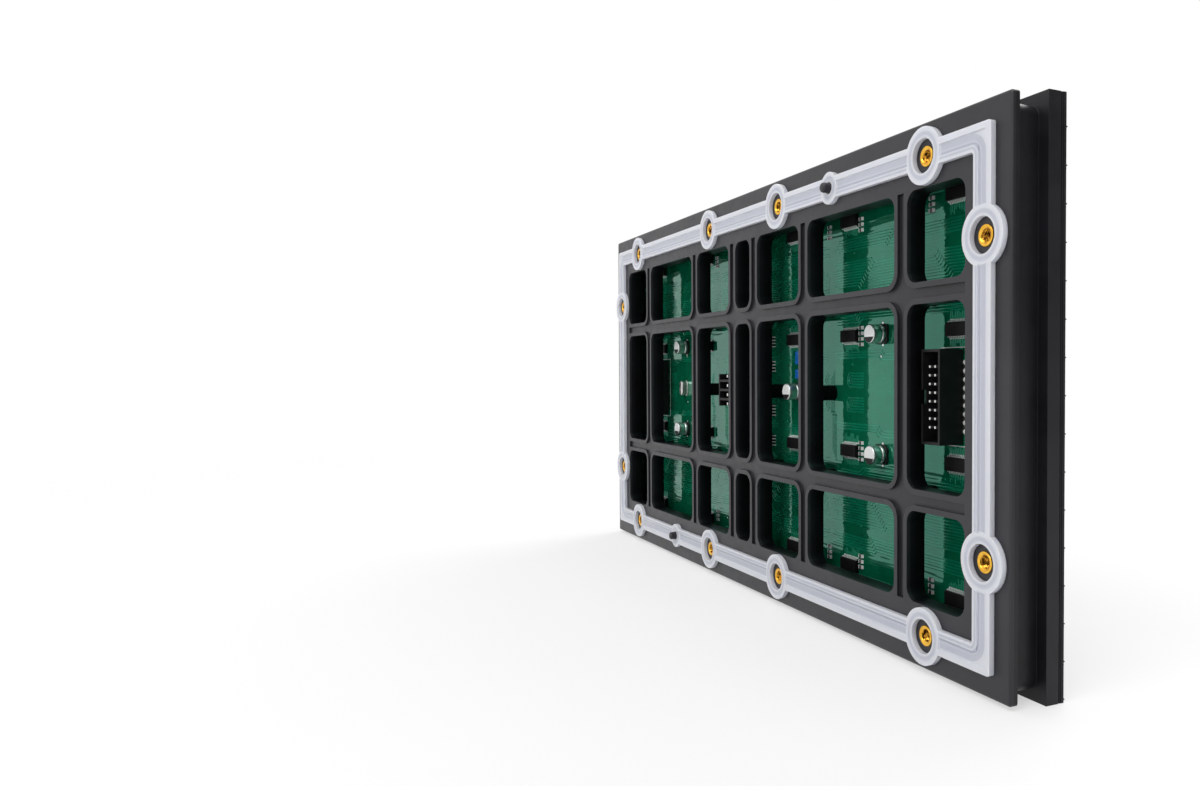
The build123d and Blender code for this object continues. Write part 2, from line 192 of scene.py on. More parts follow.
# Other parts on the board. A chip group is (x, z on both sides of the middle, count)
CANS = ((-82.0, 20.0), (-82.0, -20.0), (-24.0, 0.0), (90.0, 20.0), (90.0, -20.0))
CAN_RADIUS = 3.15
CAN_RIM = CAN_RADIUS - 0.3
CAN_STEPS = 40
CAN_BASE = 1.0
CAN_BASE_HALF = 3.3
CAN_BASE_CUT = 1.2
CAN_PRINT_TOP = -1.0
FILM_X = -30.0
FILM_WIDTH = 8.0
FILM_SPANS = ((10.3, 15.6), (4.9, 8.7))
CRYSTAL_X = 91.3
CRYSTAL_Z = (CRYSTAL_LOW[2] + CRYSTAL_HIGH[2]) / 2
CHIP_LENGTH = 2.0
CHIP_WIDTH = 1.2
CHIP_SPACING = 1.9
CHIP_GROUPS = (
    (-68.6, 19.8, 4),
    (-68.6, 58.0, 3),
    (-47.5, 58.0, 3),
    (-108.5, 58.5, 3),
    (53.0, 58.0, 3),
    (104.0, 20.0, 3),
)
CHIP_PARTS = [
    (x, side * z + (number - (count - 1) / 2) * CHIP_SPACING)
    for x, z, count in CHIP_GROUPS
    for side in (1, -1)
    for number in range(count)
]
HEADER_X = 119.6
KEY_WALL_NEAR = 3.62
KEY_WALL_FAR = 4.38
KEY_WALL_HALF = 2.1
KEY_OPENING = 1.3
KEY_DEPTH = 5.0
SOLDER_X = 5.2
SOLDER_COUNT = 9
SOLDER_PITCH = 2.54

# Tracks, holes and white lines on the board. A bundle is (middle, reach below it, count, inset)
TRACK_WIDTH = 0.48
TRACK_HEIGHT = 0.05
TRACK_GAP = 0.95
TRACK_SEED = 32016
SHORTEST_RUN = 0.01
LEAD_TRACK_WIDTH = 0.32
LINE_SIZE = (0.2, 0.06)
TRACK_BANDS = (
    (-150.0, -100.0),
    (-98.0, -50.0),
    (-47.0, -12.0),
    (-9.0, 9.0),
    (12.0, 48.0),
    (50.0, 98.0),
    (100.0, 150.0),
)
SIDE_BUNDLES = ((40.0, 4.3, 10, 0), (51.0, 1.9, 5, 0), (66.0, 2.4, 6, 0), (27.0, 1.4, 4, 3))
MIDDLE_BUNDLES = (11.6, -14.2)
TURN_BACKS = ((-70.0, 1), (-96.0, -1), (-40.0, -1), (36.0, 1), (70.0, -1), (104.0, 1))
RISERS = (-52.0, 42.0, 56.0, 134.0, -134.0)
HOLE_TRIES = 230

# Levels of painted shade on colour and gloss, as stops of (millimetres, level); the gasket's levels
# also set its bump
PAINTED_SHADE_BY_DEPTH = ((-9.0, 0.12), (-4.0, 0.2), (-1.5, 0.42), (-1.08, 0.88), (-0.3, 1.0), (0.0, 1.0))
LESS_PAINTED_SHADE_NEAR_EDGE = ((-30.0, 0.0), (-16.0, 0.0), (-15.0, 0.66), (0.0, 0.66))
PIN_PAINTED_SHADE = ((-9.0, 0.04), (-4.76, 0.10), (-4.66, 1.0), (-4.0, 1.0))
# Painted shade across the gasket's band and round its rings, darker at the grooves, the channel and
# the ring slopes
BAND_INNER_SHADE_LINE = ((-3.55, 0.95), (-2.85, 0.85), (-2.6, 0.30), (-2.15, 0.35), (-1.95, 0.75))
BAND_MIDDLE_SHADE_LINE = ((-1.6, 0.70), (-1.4, 0.10), (-1.0, 0.10), (-0.8, 0.50))
BAND_CHANNEL_SHADE = ((-0.4, 0.45), (-0.2, 0.28), (1.1, 0.30), (1.45, 0.80), (2.6, 0.90), (3.55, 1.0))
BAND_SHADE_AND_BUMP = BAND_INNER_SHADE_LINE + BAND_MIDDLE_SHADE_LINE + BAND_CHANNEL_SHADE
RING_SHADE_AND_BUMP = ((4.9, 0.85), (5.5, 0.75), (5.9, 0.35), (6.6, 0.40), (7.1, 0.85), (8.25, 1.0))
BAND_CORNER = 4.5
RING_EDGE = 8.2
PEG_RING_LESS = 2.9
PLAIN_SHINE = 0.5


# Shader tools

def new_material(name, rough=0.5, metallic=0.0, ior=1.5, shine=PLAIN_SHINE):
    """A Principled material with its constant values on the shader's own sockets."""
    mat = bpy.data.materials.new(name)
    mat.use_nodes = True
    shader = mat.node_tree.nodes["Principled BSDF"]
    values = {"Roughness": rough, "Metallic": metallic, "IOR": ior, "Specular IOR Level": shine}
    for label, value in values.items():
        shader.inputs[label].default_value = value
    return mat, mat.node_tree, shader


def noise(tree, scale, detail=4.0, roughness=0.55, stretch=(1, 1, 1)):
    """Noise over object space. Scale counts features for each metre."""
    coords = tree.nodes.new("ShaderNodeTexCoord")
    mapping = tree.nodes.new("ShaderNodeMapping")
    mapping.inputs["Scale"].default_value = stretch
    texture = tree.nodes.new("ShaderNodeTexNoise")
    texture.inputs["Scale"].default_value = scale
    texture.inputs["Detail"].default_value = detail
    texture.inputs["Roughness"].default_value = roughness
    tree.links.new(coords.outputs["Object"], mapping.inputs["Vector"])
    tree.links.new(mapping.outputs["Vector"], texture.inputs["Vector"])
    return texture.outputs["Fac"]


def rgba(value):
    """Opaque colour from three parts or from one grey level."""
    return (*value, 1) if isinstance(value, tuple) else (value, value, value, 1)


def ramp(tree, fac, low, high, start=0.35, end=0.65):
    """Colour ramp between two colours or grey levels."""
    node = tree.nodes.new("ShaderNodeValToRGB")
    for element, at, value in zip(node.color_ramp.elements, (start, end), (low, high)):
        element.position = at
        element.color = rgba(value)
    tree.links.new(fac, node.inputs["Fac"])
    return node.outputs["Color"]


def vary(tree, shader, socket, fac, *limits):
    """Drive one of the shader's sockets by a texture through a colour ramp."""
    tree.links.new(ramp(tree, fac, *limits), shader.inputs[socket])


def bump(tree, shader, height, distance, strength=1.0, rounded=0.0):
    """Bump from a height, over edges that look rounded by the given radius."""
    node = tree.nodes.new("ShaderNodeBump")
    node.inputs["Distance"].default_value = distance * MM
    node.inputs["Strength"].default_value = strength
    tree.links.new(height, node.inputs["Height"])
    if rounded:
        bevel = tree.nodes.new("ShaderNodeBevel")
        bevel.samples = 6
        bevel.inputs["Radius"].default_value = rounded * MM
        tree.links.new(bevel.outputs["Normal"], node.inputs["Normal"])
    tree.links.new(node.outputs["Normal"], shader.inputs["Normal"])


def arithmetic(tree, operation, first, second=0.0):
    """Math node of two values, each a socket or a number."""
    node = tree.nodes.new("ShaderNodeMath")
    node.operation = operation
    for number, value in enumerate((first, second)):
        if isinstance(value, (int, float)):
            node.inputs[number].default_value = value
        else:
            tree.links.new(value, node.inputs[number])
    return node.outputs[0]


def map_range(tree, value, start, end, low=0.0, high=1.0, kind="LINEAR"):
    """Value moved from one range to another and held at its ends."""
    node = tree.nodes.new("ShaderNodeMapRange")
    node.interpolation_type = kind
    limits = {"From Min": start, "From Max": end, "To Min": low, "To Max": high}
    for label, limit in limits.items():
        node.inputs[label].default_value = limit
    tree.links.new(value, node.inputs["Value"])
    return node.outputs["Result"]


def mixed(tree, share, first, second):
    """Mix of two shaders by a share of the second."""
    node = tree.nodes.new("ShaderNodeMixShader")
    for number, socket in enumerate((share, first, second)):
        tree.links.new(socket, node.inputs[number])
    return node.outputs[0]


def position(tree):
    """Sockets for X, Y and Z in object space."""
    coords = tree.nodes.new("ShaderNodeTexCoord")
    split = tree.nodes.new("ShaderNodeSeparateXYZ")
    tree.links.new(coords.outputs["Object"], split.inputs[0])
    return [split.outputs[axis] for axis in "XYZ"]


def level_along(tree, value, stops):
    """Level read from stops of (millimetres, level) along a length."""
    start, end = stops[0][0], stops[-1][0]
    node = tree.nodes.new("ShaderNodeValToRGB")
    elements = node.color_ramp.elements
    elements[0].color = rgba(stops[0][1])
    elements[1].color = rgba(stops[-1][1])
    for at, level in stops[1:-1]:
        elements.new((at - start) / (end - start)).color = rgba(level)
    tree.links.new(map_range(tree, value, start * MM, end * MM), node.inputs["Fac"])
    return node.outputs["Color"]


def length(tree, first, second):
    """Length of a vector from its two parts."""
    squares = [arithmetic(tree, "MULTIPLY", part, part) for part in (first, second)]
    return arithmetic(tree, "SQRT", arithmetic(tree, "ADD", *squares))


def edge_distance(tree, half_x, half_z, corner=0.1):
    """Distance outside a rounded rectangle about the middle of the module, negative inside."""
    x, _, z = position(tree)
    sides = []
    for along, half in ((x, half_x), (z, half_z)):
        reach = arithmetic(tree, "ABSOLUTE", along)
        sides.append(arithmetic(tree, "SUBTRACT", reach, (half - corner) * MM))
    inside = arithmetic(tree, "MINIMUM", arithmetic(tree, "MAXIMUM", *sides), 0.0)
    outside = length(tree, *(arithmetic(tree, "MAXIMUM", side, 0.0) for side in sides))
    distance = arithmetic(tree, "ADD", inside, outside)
    return arithmetic(tree, "SUBTRACT", distance, corner * MM)


def shaded(tree, shader, level):
    """Multiply the base colour and the gloss by a level of painted shade."""
    product = tree.nodes.new("ShaderNodeVectorMath")
    product.operation = "MULTIPLY"
    tree.links.new(shader.inputs["Base Color"].links[0].from_socket, product.inputs[0])
    tree.links.new(level, product.inputs[1])
    tree.links.new(product.outputs[0], shader.inputs["Base Color"])
    shine = arithmetic(tree, "MULTIPLY", level, PLAIN_SHINE)
    tree.links.new(shine, shader.inputs["Specular IOR Level"])


# Materials

def plastic(name, low, high, rough=(0.42, 0.55), grain=2600, rounded=0.0, shine=PLAIN_SHINE):
    """Moulded plastic: mottled colour, uneven gloss and a fine sparked grain."""
    mat, tree, shader = new_material(name, shine=shine)
    vary(tree, shader, "Base Color", noise(tree, 60, 6), low, high)
    vary(tree, shader, "Roughness", noise(tree, 240, 5), *rough)
    bump(tree, shader, noise(tree, grain, 3, 0.6), 0.02, 0.6, rounded)
    return mat


def metal(name, low, high, rough=(0.22, 0.38), scratch=(1, 1, 1), scale=900):
    """Metal with uneven tone and gloss."""
    mat, tree, shader = new_material(name, metallic=1.0)
    vary(tree, shader, "Base Color", noise(tree, scale / 3, 4), low, high)
    texture = noise(tree, scale, 5, 0.6, scratch)
    vary(tree, shader, "Roughness", texture, *rough)
    bump(tree, shader, texture, 0.01, 0.4)
    return mat


def charcoal():
    """Charcoal plastic, sparked on the rear side, with painted shade that darkens it down in the
    cells, less near the outer edge.
    """
    low, high = (0.010, 0.0095, 0.013), (0.0165, 0.016, 0.021)
    mat = plastic("charcoal_plastic", low, high, (0.38, 0.46), rounded=0.25)
    tree = mat.node_tree
    # Painted shade: colour and gloss darken with depth into the cells, but within 15 mm of the outer
    # edge they keep two thirds or more
    depth = level_along(tree, position(tree)[1], PAINTED_SHADE_BY_DEPTH)
    outside = level_along(tree, edge_distance(tree, HALF_WIDTH, HALF_HEIGHT), LESS_PAINTED_SHADE_NEAR_EDGE)
    level = arithmetic(tree, "MAXIMUM", depth, outside)
    shaded(tree, tree.nodes["Principled BSDF"], level)
    return mat


def silicone():
    """Pale translucent rubber, with painted shade in lines along the band and round the rings:
    darker grooves, a darker channel and darker slopes round the rings; the same levels give its
    bump.
    """
    mat, tree, shader = new_material("pale_silicone", rough=0.35, ior=1.41)
    shader.inputs["Subsurface Weight"].default_value = 0.6
    shader.inputs["Subsurface Radius"].default_value = (0.9, 0.95, 1.1)
    shader.inputs["Subsurface Scale"].default_value = 1.5 * MM
    x, _, z = position(tree)
    wide, high = arithmetic(tree, "ABSOLUTE", x), arithmetic(tree, "ABSOLUTE", z)
    across = edge_distance(tree, SEAL_X, SEAL_Z, BAND_CORNER)
    nearest = 1.0
    centres = [(wide, high, place, 0.0) for place in INSERT_QUARTER]
    centres += [(x, z, place, PEG_RING_LESS) for place in PEGS]
    for along, up, (ring_x, ring_z), grow in centres:
        side = arithmetic(tree, "SUBTRACT", along, ring_x * MM)
        rise = arithmetic(tree, "SUBTRACT", up, ring_z * MM)
        reach = arithmetic(tree, "ADD", length(tree, side, rise), grow * MM)
        nearest = arithmetic(tree, "MINIMUM", nearest, reach)
    mix = tree.nodes.new("ShaderNodeMix")
    tree.links.new(arithmetic(tree, "LESS_THAN", nearest, RING_EDGE * MM), mix.inputs["Factor"])
    tree.links.new(level_along(tree, across, BAND_SHADE_AND_BUMP), mix.inputs["A"])
    tree.links.new(level_along(tree, nearest, RING_SHADE_AND_BUMP), mix.inputs["B"])
    level = mix.outputs["Result"]
    # Painted shade from the levels, with a little random mottle on top
    mottled = arithmetic(tree, "ADD", level, arithmetic(tree, "MULTIPLY", noise(tree, 70, 3), 0.1))
    low, high = (0.43, 0.45, 0.53), (0.70, 0.71, 0.76)
    vary(tree, shader, "Base Color", mottled, low, high, 0.05, 1.05)
    vary(tree, shader, "Roughness", noise(tree, 420, 4), 0.28, 0.36)
    bump(tree, shader, level, 0.22, 0.7)
    return mat


def solder_mask(name, low, high):
    """Glossy green lacquer over laminate, with slight waves along the hidden tracks."""
    mat, tree, shader = new_material(name, rough=0.04, ior=1.95)
    shader.inputs["Specular Tint"].default_value = (0.22, 1.0, 0.72, 1.0)
    vary(tree, shader, "Base Color", noise(tree, 120, 5), low, high)
    vary(tree, shader, "Roughness", noise(tree, 500, 4), 0.02, 0.07)
    bump(tree, shader, noise(tree, 520, 1, stretch=(0.09, 1, 1)), 0.2)
    return mat


def turned_brass(name, low, high, scale=500, spread=(0.3, 0.7)):
    """Brass from the lathe, with a little tarnish; a near-black low colour, as in the bore, is
    painted shade.
    """
    mat, tree, shader = new_material(name, metallic=1.0)
    vary(tree, shader, "Base Color", noise(tree, scale, 3), low, high, *spread)
    vary(tree, shader, "Roughness", noise(tree, 900, 4), 0.14, 0.26)
    bump(tree, shader, noise(tree, 2200, 2), 0.01, 0.3)
    return mat


def header_pin():
    """Tinned pins, bright at the tip, with painted shade that darkens them towards the root."""
    mat, tree, shader = new_material("header_pin", rough=0.35)
    low, high = (0.66, 0.66, 0.64), (0.84, 0.84, 0.82)
    vary(tree, shader, "Base Color", noise(tree, 600, 3), low, high)
    # Painted shade: colour and gloss drop to a tenth or less deeper than 4.7 mm
    shaded(tree, shader, level_along(tree, position(tree)[1], PIN_PAINTED_SHADE))
    return mat


def lamp_resin():
    """Matt resin over pale phosphor."""
    mat, tree, shader = new_material("lamp_resin", rough=0.35)
    low, high = (0.95, 0.94, 0.86), (0.98, 0.97, 0.90)
    vary(tree, shader, "Base Color", noise(tree, 1500, 3), low, high)
    bump(tree, shader, noise(tree, 2400, 3), 0.02, 0.4)
    return mat


HOUSING = charcoal()
MASK = plastic(
    "mask_plastic", (0.0065, 0.0065, 0.0085), (0.0115, 0.0115, 0.0145), (0.50, 0.62), shine=0.26
)
# Near-black plastic for strips of painted shadow
MASK_PAINTED_SHADOW = plastic(
    "mask_shadow_line", (0.0010, 0.0010, 0.0012), (0.0020, 0.0020, 0.0024), (0.6, 0.7), shine=0.05
)
# Lighter copy of the mask plastic: a painted highlight on the teeth
MASK_TOOTH_PAINTED_HIGHLIGHT = plastic("mask_tooth_painted_highlight", (0.020, 0.020, 0.024), (0.034, 0.034, 0.040), (0.35, 0.45))
SILICONE = silicone()
BRASS = turned_brass("turned_brass", (0.80, 0.40, 0.04), (0.95, 0.56, 0.08))
# Brass of the bore: its near-black patches from noise are painted shade in the hole
BORE_PAINTED_SHADE = turned_brass("brass_bore_painted_shade", (0.05, 0.016, 0.002), (0.70, 0.34, 0.04), 900, (0.42, 0.58))
TIN = metal("tinned_metal", (0.62, 0.62, 0.60), (0.82, 0.82, 0.80))
CAN = metal("drawn_can", (0.50, 0.54, 0.52), (0.62, 0.66, 0.64), (0.30, 0.42), (1, 8, 1), 500)
CAN_TOP = plastic("can_top", (0.66, 0.68, 0.66), (0.80, 0.81, 0.80), (0.3, 0.4), 2400)
LAMINATE = solder_mask("green_solder_mask", (0.001, 0.090, 0.042), (0.002, 0.118, 0.056))
TRACK = solder_mask("green_over_copper", (0.002, 0.140, 0.072), (0.004, 0.180, 0.095))
CONNECTOR = plastic("connector_plastic", (0.004, 0.004, 0.0045), (0.008, 0.008, 0.009), shine=0.3)
CHIP = plastic(
    "chip_epoxy", (0.004, 0.0036, 0.004), (0.009, 0.008, 0.009), (0.35, 0.5), 4200, shine=0.17
)
BLUE = plastic("blue_epoxy", (0.004, 0.075, 0.30), (0.010, 0.12, 0.42), (0.2, 0.3), 900)
CERAMIC = plastic("chip_ceramic", (0.020, 0.018, 0.017), (0.060, 0.052, 0.046), (0.3, 0.45), 1800)
SILK = plastic("white_ink", (0.62, 0.64, 0.62), (0.78, 0.80, 0.78), (0.5, 0.6), 3000)
SOLDER = plastic("solder", (0.66, 0.67, 0.66), (0.82, 0.83, 0.82), (0.18, 0.28), 900)
SCREW = plastic("blackened_steel", (0.004, 0.004, 0.005), (0.010, 0.010, 0.011), (0.14, 0.24))
LAMP_CASE = plastic(
    "lamp_case", (0.006, 0.006, 0.006), (0.012, 0.011, 0.010), (0.4, 0.5), 3000, shine=0.15
)
LAMP = lamp_resin()
PIN = header_pin()


# Mesh tools

def new_object(name, data):
    """New object in the scene."""
    obj = bpy.data.objects.new(name, data)
    bpy.context.scene.collection.objects.link(obj)
    return obj


def mesh_object(name, bm):
    """New object that takes over a bmesh."""
    mesh = bpy.data.meshes.new(name)
    bm.to_mesh(mesh)
    bm.free()
    return new_object(name, mesh)


def finish_piece(name, bm, materials, replaced=(), smooth_deg=35):
    """Turn a bmesh into a piece that rides on the module."""
    bmesh.ops.recalc_face_normals(bm, faces=bm.faces)
    piece = mesh_object(name, bm)
    for mat in materials:
        piece.data.materials.append(mat)
    for polygon in piece.data.polygons:
        polygon.use_smooth = True
    piece.data.set_sharp_from_angle(angle=math.radians(smooth_deg))
    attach(piece, "root")
    if replaced:
        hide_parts(*replaced)


def verts_at(bm, outline, depth):
    """New vertices along an outline in X and Z, at one depth."""
    return [bm.verts.new(point(x, depth, z)) for x, z in outline]


def skin(bm, rows, material=0, closed=True):
    """Faces between each two neighbouring rows of vertices."""
    count = len(rows[0])
    for one, two in zip(rows, rows[1:]):
        for i in range(count if closed else count - 1):
            j = (i + 1) % count
            bm.faces.new((one[i], one[j], two[j], two[i])).material_index = material


def loft(bm, rings, material=0, caps=(True, True)):
    """Skin through rings of (outline, depth), with a cap at either end if asked."""
    rows = [verts_at(bm, outline, depth) for outline, depth in rings]
    skin(bm, rows, material)
    for wanted, row in zip(caps, (rows[0], rows[-1][::-1])):
        if wanted:
            bm.faces.new(row).material_index = material


def rectangle(left, right, low, high):
    """Outline of a rectangle."""
    return [(left, low), (right, low), (right, high), (left, high)]


def block(bm, left, right, low, high, near, far, edge=0.0, material=0):
    """Box between limits. Edge chamfers its near rim."""
    outline = rectangle(left, right, low, high)
    rings = [(outline, far), (outline, near + edge)]
    if edge:
        rings.append((rectangle(left + edge, right - edge, low + edge, high - edge), near))
    loft(bm, rings, material)


def polar(x, z, radius, angle):
    """Point at a radius and an angle from a centre."""
    return x + radius * math.cos(angle), z + radius * math.sin(angle)


def circle(x, z, radius, steps=24, turn=0.0):
    """Points of a circle."""
    return [polar(x, z, radius, turn + 2 * math.pi * i / steps) for i in range(steps)]


def turned(bm, x, z, section, steps=32, caps=(True, True)):
    """Solid of revolution about a line along Y: section is (radius, depth) from end to end."""
    loft(bm, [(circle(x, z, radius, steps), depth) for radius, depth in section], caps=caps)


def rounded_rectangle(x, z, width, height, corner, steps=3):
    """Outline of a rectangle with rounded corners."""
    points = []
    for quarter, (sx, sz) in enumerate(((1, 1), (-1, 1), (-1, -1), (1, -1))):
        middle_x = x + sx * (width / 2 - corner)
        middle_z = z + sz * (height / 2 - corner)
        for i in range(steps + 1):
            angle = math.pi / 2 * (quarter + i / steps)
            points.append(polar(middle_x, middle_z, corner, angle))
    return points


def rounded_square(x, z, side, corner, steps=3):
    """Outline of a square with rounded corners."""
    return rounded_rectangle(x, z, side, side, corner, steps)


# Mask halves with their windows, visors and teeth

def window_tile(bm, x, z, left, right, low, high):
    """Front and back round one window, and the walls of the window."""
    window = rounded_square(x, z, WINDOW, WINDOW_CORNER)
    flare = rounded_square(x, z, WINDOW + 2 * WINDOW_EDGE, WINDOW_CORNER + WINDOW_EDGE)
    corners = [(right, high), (left, high), (left, low), (right, low)]
    front_ring = verts_at(bm, flare, MASK_FRONT)
    lip_ring = verts_at(bm, window, MASK_FRONT - WINDOW_EDGE)
    back_ring = verts_at(bm, window, BOARD_FRONT)
    front_corner = verts_at(bm, corners, MASK_FRONT)
    back_corner = verts_at(bm, corners, BOARD_FRONT)
    skin(bm, [front_ring, lip_ring, back_ring])
    count = len(window)
    per_corner = count // 4
    for i in range(count):
        j = (i + 1) % count
        corner = i // per_corner
        if (i + 1) % per_corner:
            bm.faces.new((front_ring[i], front_corner[corner], front_ring[j]))
            bm.faces.new((back_ring[i], back_ring[j], back_corner[corner]))
        else:
            after = (corner + 1) % 4
            bm.faces.new((front_ring[i], front_corner[corner], front_corner[after], front_ring[j]))
            bm.faces.new((back_ring[i], back_ring[j], back_corner[after], back_corner[corner]))


def mask_plate(bm, pixels, side):
    """Plate with windows and its plug behind."""
    plug_x = HALF_WIDTH - PLUG_INSET
    plug_z = HALF_HEIGHT - PLUG_INSET
    for x, z in pixels:
        near, far = max(abs(x) - PITCH / 2, SEAM), min(abs(x) + PITCH / 2, plug_x)
        low, high = max(z - PITCH / 2, -plug_z), min(z + PITCH / 2, plug_z)
        window_tile(bm, x, z, *sorted((side * near, side * far)), low, high)


def outer_lip(bm, side):
    """Strip outside the plug on three sides, with the joint line, and the walls at the seam."""

    def path(inset):
        end = side * (HALF_WIDTH - inset)
        high = HALF_HEIGHT - inset
        return [(side * SEAM, -high), (end, -high), (end, high), (side * SEAM, high)]

    steps = (
        (PLUG_INSET, BOARD_FRONT),
        (PLUG_INSET, MASK_BACK),
        (0.4, MASK_BACK),
        (0.4, MASK_BACK + 0.2),
        (0.05, MASK_BACK + 0.3),
        (0.0, MASK_BACK + 0.7),
        (0.15, MASK_BACK + 0.76),
        (0.15, MASK_BACK + 0.88),
        (0.0, MASK_BACK + 0.94),
        (0.0, MASK_FRONT - 0.25),
        (0.08, MASK_FRONT - 0.08),
        (0.25, MASK_FRONT),
        (PLUG_INSET, MASK_FRONT),
    )
    rows = [verts_at(bm, path(inset), depth) for inset, depth in steps]
    skin(bm, rows, closed=False)
    for end in (0, -1):
        bm.faces.new([row[end] for row in rows[1:]])


def ridge(bm, start, end, low, high, reach):
    """Low ridge with a sloped top, which thins towards its tip."""
    tip = MASK_FRONT + reach
    slope = RIDGE_SLOPE * (high - low)
    base = rectangle(start, end, low, high)
    crest = rectangle(start + RIDGE_CREST, end - RIDGE_CREST, low + RIDGE_CREST / 2, high - slope)
    loft(bm, [(base, MASK_FRONT - SUNK), (base, tip - reach / 2), (crest, tip)])


def painted_shadow_strip(bm, start, end, low, high):
    """Near-black strip level with the mask: a painted shadow."""
    low = max(low, -HALF_HEIGHT + SHADOW_STRIP_MARGIN)
    block(bm, start, end, low, high, MASK_FRONT + SHADOW_STRIP_RAISE, MASK_FRONT - SUNK, material=1)


def teeth(bm, x, z, start, end):
    """Comb of small rounded teeth above the first ridge, in a lighter copy of the mask plastic: a
    painted highlight.
    """
    top = z - TOOTH_TOP
    bottom = z - RIDGE_TOP
    foot = bottom - SUNK
    crest_top = top + 0.35 * (bottom - top)
    for number in range(-TEETH_EACH_SIDE, TEETH_EACH_SIDE + 1):
        middle = x + number * TOOTH_PITCH
        left, right = middle - TOOTH_WIDTH / 2, middle + TOOTH_WIDTH / 2
        if left < start or right > end:
            continue
        base = [(left, foot), (right, foot), (right - 0.15, top), (left + 0.15, top)]
        crest = [
            (middle - 0.2, foot),
            (middle + 0.2, foot),
            (middle + 0.12, crest_top),
            (middle - 0.12, crest_top),
        ]
        loft(bm, [(base, MASK_FRONT - SUNK), (crest, MASK_FRONT + TOOTH_REACH)], 2)


def clear_of_screws(start, end, z):
    """Shorten a stretch below a pixel so that it stays clear of a screw head."""
    for sx, sz in SCREWS:
        if abs(sz - (z - PITCH / 2)) < PITCH / 2:
            if abs(sx - start) < SCREW_RADIUS:
                start = sx + SCREW_RADIUS + SCREW_GAP
            if abs(sx - end) < SCREW_RADIUS:
                end = sx - SCREW_RADIUS - SCREW_GAP
    return start, end


def visors(bm, pixels, side):
    """Ridges, painted shadow strips and teeth below each pixel, with room for the screws."""
    for x, z in pixels:
        near = max(abs(x) - PITCH / 2 + RIDGE_BREAK / 2, SEAM + 0.1)
        far = min(abs(x) + PITCH / 2 - RIDGE_BREAK / 2, HALF_WIDTH - RIDGE_END)
        start, end = clear_of_screws(*sorted((side * near, side * far)), z)
        for top, bottom, reach in RIDGES:
            if z - bottom > -HALF_HEIGHT:
                ridge(bm, start, end, z - bottom, z - top, reach)
                # Painted shadow under the ridge
                painted_shadow_strip(bm, start, end, z - bottom - SHADOW_STRIP_WIDTH, z - bottom)
        joint_start, joint_end = sorted((side * (abs(x) - PITCH / 2), side * near))
        if abs(x) > PITCH / 2 and start - joint_end < JOINT_FREE:
            joint_start -= JOINT_OVERLAP
            ridge(bm, joint_start, joint_end, z - RIDGE_BOTTOM, z - RIDGE_TOP, JOINT_REACH)
        # Painted shadow above the first ridge, round the teeth
        painted_shadow_strip(bm, start, end, z - RIDGE_TOP, z - TOOTH_TOP + 0.1)
        teeth(bm, x, z, start, end)


def mask_half(side, node):
    """One half of the mask, on the side of X with the given sign."""
    bm = bmesh.new()
    pixels = [(x, z) for x, z in PIXELS if x * side > 0]
    mask_plate(bm, pixels, side)
    outer_lip(bm, side)
    bmesh.ops.remove_doubles(bm, verts=bm.verts, dist=0.005 * MM)
    visors(bm, pixels, side)
    finish_piece(f"{node}_half", bm, [MASK, MASK_PAINTED_SHADOW, MASK_TOOTH_PAINTED_HIGHLIGHT], [node])


def lamps():
    """Square lamps on the board: a black case, and a pale face with rounded corners."""
    bm = bmesh.new()
    rim = LAMP_FACE - 0.06
    for x, z in PIXELS:
        outer = rounded_square(x, z, LAMP_SIDE, LAMP_CORNER, LAMP_STEPS)
        shoulder = rounded_square(x, z, LAMP_SIDE - 0.12, LAMP_CORNER, LAMP_STEPS)
        pool = rounded_square(x, z, LAMP_SIDE - 0.26, 0.5, LAMP_STEPS)
        floor = rounded_square(x, z, LAMP_SIDE - 0.34, 0.48, LAMP_STEPS)
        loft(bm, [(outer, BOARD_FRONT), (outer, rim)], caps=(True, False))
        loft(bm, [(outer, rim), (shoulder, LAMP_FACE), (pool, LAMP_FACE)], caps=(False, False))
        loft(bm, [(pool, LAMP_FACE), (floor, LAMP_FACE - 0.04)], 1, caps=(False, True))
    bmesh.ops.remove_doubles(bm, verts=bm.verts, dist=0.002 * MM)
    finish_piece("lamps", bm, [LAMP_CASE, LAMP], ["led_lamps"])


def screws():
    """Small button heads with a cross recess, sunk level with the ridges."""
    bm = bmesh.new()
    section = (
        (SCREW_RADIUS, MASK_FRONT - SUNK),
        (SCREW_RADIUS, MASK_FRONT + 0.2),
        (SCREW_RADIUS * 0.9, MASK_FRONT + 0.42),
        (SCREW_RADIUS * 0.68, SCREW_CROWN),
    )
    for number, (x, z) in enumerate(SCREWS):
        turn = 0.7 * number
        star = []
        for i in range(SCREW_STEPS):
            reach = SCREW_RECESS if i % 5 == 0 else SCREW_RECESS * 0.34
            star.append(polar(x, z, reach, turn + 2 * math.pi * i / SCREW_STEPS))
        floor = [((px + x) / 2, (pz + z) / 2) for px, pz in star]
        rings = [(circle(x, z, radius, SCREW_STEPS, turn), depth) for radius, depth in section]
        loft(bm, rings + [(star, SCREW_CROWN + 0.03), (floor, SCREW_CROWN - 0.55)])
    finish_piece("mask_screws", bm, [SCREW])


# Brass inserts with a cut thread

def thread_outline(x, z, turns):
    """Outline of the bore at a level where the crest has wound on by some turns."""
    outline = []
    for i in range(INSERT_STEPS):
        phase = (turns + i / INSERT_STEPS) % 1.0
        crest = 1 - abs(2 * phase - 1)
        radius = THREAD_RADIUS + THREAD_DEPTH * (1 - crest)
        outline.append(polar(x, z, radius, 2 * math.pi * i / INSERT_STEPS))
    return outline


